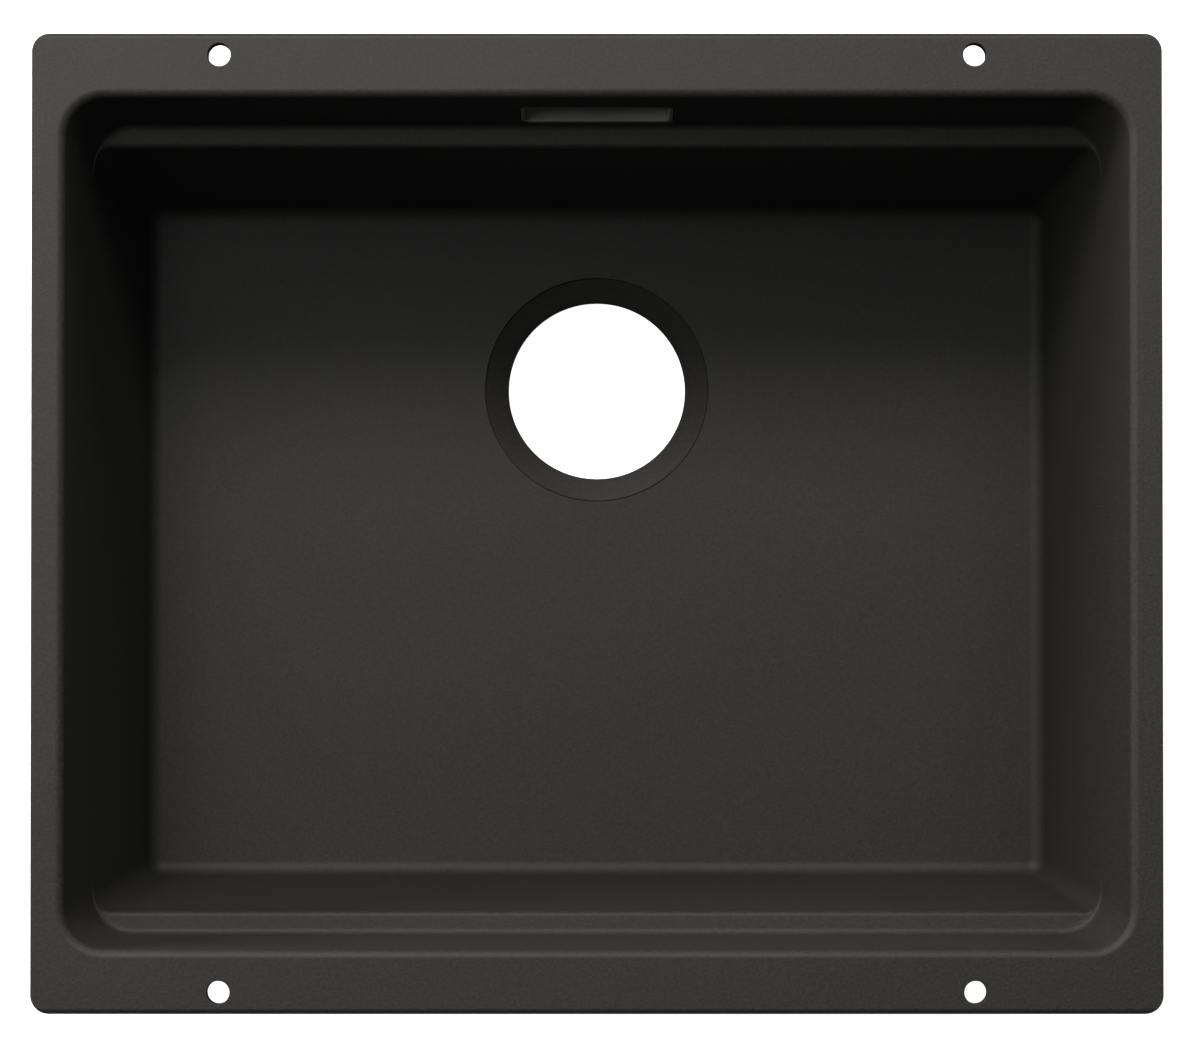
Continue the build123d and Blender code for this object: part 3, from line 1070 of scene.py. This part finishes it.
@dataclass
class OutletGland:
    """Funnel with its threaded outlet, the cone seal and the ribbed union nut.

    chamber holds the width and depth of the chamber above and how far its corners
    are cut back. mouth holds the radius and height of the outlet's widened end, and
    how much wider its cutter gets past it. collar holds a radius and a height. lip
    holds a radius and the heights above the end at which it starts, is full and is
    broken. ridge_section places each corner of the thread's ridge: from -1 at its
    root over 0 at the core to 1 at its crest, and in height in thirds of the pitch.
    The ridge fades out at both ends, over a turn divided by run_out.
    """

    plastic: Material
    rubber: Material
    white: Material
    axis_y: float = 208.2774
    wall: float = 2.0
    waist: float = -65.9
    foot: float = -85.9
    end: float = -105.9
    chamber: tuple[float, float, float] = (69.0, 11.5, 1.5)
    chamber_y: float = 219.6263
    neck: float = 23.0
    bore: float = 11.0
    mouth: tuple[float, float, float] = (13.2, 6.0, 0.4)
    collar: tuple[float, float] = (15.5, 4.0)
    collar_break: float = 0.4
    lip: tuple[float, float, float, float] = (13.8, 2.0, 1.2, 0.2)
    overlap: float = 0.5
    overrun: float = 1.0
    inside_rise: float = 3.0
    thread_core: float = 13.0
    thread_crest: float = 14.0
    pitch: float = 3.0
    thread_top: float = -91.6
    thread_end: float = -103.4
    root: float = 0.1
    run_out: int = 6
    least_rise: float = 0.02
    ridge_section: tuple[FlatPoint, ...] = (
        (-1, 1.3), (0, 1.2), (1, 0.45), (1, -0.45), (0, -1.2), (-1, -1.3),
    )
    ridge_steps: int = 60
    steps: int = 96

    def chamber_outline(self, wall: float, level: float) -> Outline:
        """Outline of the chamber above the funnel.

        Args:
            wall: How far it is grown outwards.
            level: Its height.

        Returns:
            Eight points, anticlockwise.
        """
        width, depth, corner = self.chamber
        growth = 2 * wall
        leg = corner + growth * OCTAGON_LEG
        return cut_outline(width + growth, depth + growth, leg, self.chamber_y, level)

    def hopper(self, name: str, wall: float, rise: float) -> Piece:
        """Hopper as a solid.

        Args:
            name: Name of the object.
            wall: How far it is grown outwards.
            rise: How far its top is raised above the waist.

        Returns:
            The closed mesh.
        """
        neck = self.neck + 2 * wall
        rings = [self.chamber_outline(wall, self.waist)]
        if rise:
            rings.insert(0, self.chamber_outline(wall, self.waist + rise))
        rings.append(cut_outline(neck, neck, neck * OCTAGON_LEG, self.axis_y, self.foot))
        return loft(name, rings)

    def round(self, name: str, profile: Sequence[FlatPoint]) -> Piece:
        """Solid of circles on the outlet's axis."""
        return plug(name, profile, self.axis_y, self.steps)

    def ridge(self) -> Piece:
        """Winds the thread's ridge down the outlet.

        Returns:
            The closed mesh.
        """
        core, height = self.thread_core, self.thread_crest - self.thread_core
        turns = (self.thread_top - self.thread_end) / self.pitch
        count = int(turns * self.ridge_steps)
        rings: list[Outline] = []
        for step in range(count + 1):
            turn = math.tau * step / self.ridge_steps
            level = self.thread_top - self.pitch * step / self.ridge_steps
            fade = min(1.0, self.run_out * min(step, count - step) / self.ridge_steps)
            rise = height * max(self.least_rise, fade)
            ring = []
            for out, up in self.ridge_section:
                radius = core + out * (rise if out > 0 else self.root)
                x, y = radius * math.cos(turn), self.axis_y + radius * math.sin(turn)
                ring.append((x, y, level + up * self.pitch / 3))
            rings.append(ring)
        return loft("ridge", rings)

    def funnel(self) -> Piece:
        """Moulds the hopper, the collar and the threaded outlet with its bore.

        Returns:
            The mesh.
        """
        collar, collar_height = self.collar
        mouth, mouth_height, flare = self.mouth
        lip, lip_start, lip_full, lip_break = self.lip
        top, end = self.foot + self.overlap, self.end
        collar_end = self.foot - collar_height
        stem = (
            (collar, top),
            (collar, collar_end + self.collar_break),
            (collar - self.collar_break, collar_end),
            (self.thread_core, collar_end),
            (self.thread_core, end + lip_start),
            (lip, end + lip_full),
            (lip, end + lip_break),
            (lip - lip_break, end),
        )
        bore = (
            (self.bore, top),
            (self.bore, end + mouth_height),
            (mouth, end),
            (mouth + flare, end - self.overrun),
        )
        piece = self.hopper("funnel", self.wall, 0)
        work_with(piece, self.round("stem", stem), Cut.JOIN)
        work_with(piece, self.hopper("inside", 0, self.inside_rise), Cut.TAKE_AWAY)
        work_with(piece, self.round("bore", bore), Cut.TAKE_AWAY)
        take_in(piece, self.ridge())
        piece.name = piece.data.name = "threaded_funnel"
        return piece

    def seam(self) -> Piece:
        """Bead where the funnel was welded to the chamber."""
        path = self.chamber_outline(self.wall, self.waist)
        return bead("funnel_weld", path, closed=True)

    def build(self) -> list[str]:
        """Builds the funnel and its weld, and dresses the seal and the nut.

        Returns:
            Lines for the log, one for each piece.
        """
        lines = []
        funnel, weld = self.funnel(), self.seam()
        for piece in (funnel, weld):
            piece.data.materials.append(self.plastic)
            smooth(piece)
            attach(piece, Body.SINK.value)
            lines.append(f"{piece.name}: {len(piece.data.polygons)} faces")
        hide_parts("outlet_funnel")
        lines.append(dress("outlet_seal", self.rubber, edge_round=0.2))
        lines.append(dress("outlet_nut", self.white, edge_round=0.3))
        return lines


# ---- Studio and camera ----


@dataclass(frozen=True)
class Softbox:
    """One large, even light panel that faces the bowl.

    turn is its bearing from the rear, to the left, and rise its height above the
    level, both in degrees. away is its distance, and size its width and height, all
    in metres, and power is in watts.
    """

    name: str
    turn: float
    rise: float
    away: float
    size: tuple[float, float]
    power: float
    tint: Colour = WARM_WHITE
    aim: Point = (0.0, 0.0, -0.1)

    def place(self) -> None:
        """Hangs the panel and aims it."""
        lamp = bpy.data.lights.new(self.name, "AREA")
        lamp.shape = "RECTANGLE"
        lamp.size, lamp.size_y = self.size
        lamp.energy = self.power
        lamp.color = self.tint
        panel = bpy.data.objects.new(self.name, lamp)
        turn, rise = math.radians(self.turn), math.radians(self.rise)
        level = self.away * math.cos(rise)
        ahead, left = level * math.cos(turn), level * math.sin(turn)
        offset = Vector((-left, ahead, self.away * math.sin(rise)))
        panel.location = Vector(self.aim) + offset
        panel.rotation_euler = (-offset).to_track_quat("-Z", "Y").to_euler()
        panel.visible_camera = False
        bpy.context.scene.collection.objects.link(panel)


@dataclass
class Studio:
    """Plain white floor, a white surround and soft light, most of it from the rear left.

    The skirts stand low, so they light the outside and the edge of the flange.
    floor_mottle is in millimetres.
    """

    floor_height: float = -0.203
    floor_size: float = 20.0
    floor_whites: tuple[float, float] = (0.9, 0.92)
    floor_mottle: float = 400.0
    surround: float = 0.02
    softboxes: tuple[Softbox, ...] = (
        Softbox("rear_key", 20, 50, 2.5, (0.625, 0.625), 29.0),
        Softbox("left_key", 45, 50, 2.5, (0.625, 0.625), 5.4),
        Softbox("rear_right", -30, 50, 2.5, (0.625, 0.625), 9.1),
        Softbox("right_low", -30, 15, 2.5, (0.875, 0.875), 8.8),
        Softbox("rear_low", 45, 15, 2.5, (0.875, 0.875), 21.6),
        Softbox("left_low", 80, 15, 2.5, (0.875, 0.875), 17.2),
        Softbox("left_near", 60, 68, 1.2, (0.3, 0.3), 1.75),
        Softbox("rear_near", 0, 68, 1.2, (0.3, 0.3), 0.95),
        Softbox("front_high", 180, 60, 3.0, (1.0, 1.0), 1.7),
        Softbox("front_skirt", 175, -5, 0.55, (1.0, 0.08), 0.5, aim=SKIRT_AIM),
        Softbox("right_skirt", -95, -5, 0.9, (0.8, 0.08), 1.0, aim=SKIRT_AIM),
        Softbox("left_skirt", 95, -5, 0.9, (0.8, 0.08), 1.0, aim=SKIRT_AIM),
    )

    def floor(self) -> None:
        """Lays the floor, white as the photograph's ground."""
        half = self.floor_size / 2 / MM
        level = self.floor_height / MM
        corners = ((-half, -half), (half, -half), (half, half), (-half, half))
        ground = make_object("floor", [(x, y, level) for x, y in corners], [(0, 1, 2, 3)])
        graph = Graph("white_ground")
        dull, bright = ((white, white, white) for white in self.floor_whites)
        mottle = graph.noise(self.floor_mottle, detail=1)
        graph.feed(graph.ramp(mottle, ((0, dull), (1, bright))), "Base Color")
        graph.set_shader(Roughness=0.9, Emission_Color=(1, 1, 1, 1), Emission_Strength=1.0)
        ground.data.materials.append(graph.material)
        ground.visible_diffuse = False
        ground.visible_glossy = False

    def sky(self) -> None:
        """Surround that looks white and lights the sink only a little."""
        world = bpy.data.worlds.new("surround")
        world.use_nodes = True
        tree = world.node_tree
        tree.nodes.clear()
        seen = tree.nodes.new("ShaderNodeBackground")
        seen.inputs["Color"].default_value = (1, 1, 1, 1)
        lit = tree.nodes.new("ShaderNodeBackground")
        lit.inputs["Color"].default_value = (*WARM_WHITE, 1)
        lit.inputs["Strength"].default_value = self.surround
        path = tree.nodes.new("ShaderNodeLightPath")
        mix = tree.nodes.new("ShaderNodeMixShader")
        end = tree.nodes.new("ShaderNodeOutputWorld")
        tree.links.new(path.outputs["Is Camera Ray"], mix.inputs["Fac"])
        tree.links.new(lit.outputs["Background"], mix.inputs[1])
        tree.links.new(seen.outputs["Background"], mix.inputs[2])
        tree.links.new(mix.outputs["Shader"], end.inputs["Surface"])
        bpy.context.scene.world = world

    def build(self) -> list[str]:
        """Sets the whole studio up.

        Returns:
            A line for the log.
        """
        self.floor()
        self.sky()
        for softbox in self.softboxes:
            softbox.place()
        bpy.context.scene.view_settings.view_transform = "Standard"
        return [f"studio: {len(self.softboxes)} softboxes"]


@dataclass
class PhotoCamera:
    """Camera high above the front half of the sink, as in the photograph.

    at is in metres, tilt in degrees, and lens and sensor are in millimetres.
    """

    at: Point = (0.0, -0.112, 2.191)
    tilt: float = 0.88
    lens: float = 141.05
    sensor: float = 36.0
    shift: tuple[float, float] = (0.0005, 0.1398)
    clip: tuple[float, float] = (0.05, 100.0)

    def build(self) -> list[str]:
        """Places the camera and makes it the scene's own.

        Returns:
            A line for the log.
        """
        data = bpy.data.cameras.new("photo_camera")
        data.lens = self.lens
        data.sensor_width = self.sensor
        data.sensor_fit = "HORIZONTAL"
        data.shift_x, data.shift_y = self.shift
        data.clip_start, data.clip_end = self.clip
        data.dof.use_dof = False
        camera = bpy.data.objects.new("photo_camera", data)
        camera.location = self.at
        camera.rotation_euler = (math.radians(self.tilt), 0, 0)
        bpy.context.scene.collection.objects.link(camera)
        bpy.context.scene.camera = camera
        return [f"camera: {self.at[2]:.2f} m above the flange"]


def report(lines: Iterable[str]) -> None:
    """Logs what a class has built, a line for each piece."""
    for line in lines:
        LOG.info(line)


def main() -> None:
    """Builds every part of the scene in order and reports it."""
    logging.basicConfig(level=logging.INFO, format="%(message)s")
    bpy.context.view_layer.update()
    report(Casting(GraniteComposite()).build())
    grey = MouldedPlastic("grey_plastic", (0.27, 0.27, 0.262)).make()
    steel = WorkedMetal("bright_steel", (0.62, 0.62, 0.61)).make()
    brass = WorkedMetal("turned_brass", (0.72, 0.55, 0.27)).make()
    gasket = MouldedRubber("gasket_rubber", (0.02, 0.02, 0.02)).make()
    seal = MouldedRubber("seal_rubber", (0.03, 0.03, 0.03), 0.6).make()
    white = MouldedPlastic("white_plastic", (0.78, 0.78, 0.76), 0.35).make()
    report(OverflowBox(grey, gasket).build())
    report(Fastening(steel, brass).build())
    report(OutletGland(grey, seal, white).build())
    report(Studio().build())
    report(PhotoCamera().build())


if __name__ == "__main__":
    main()
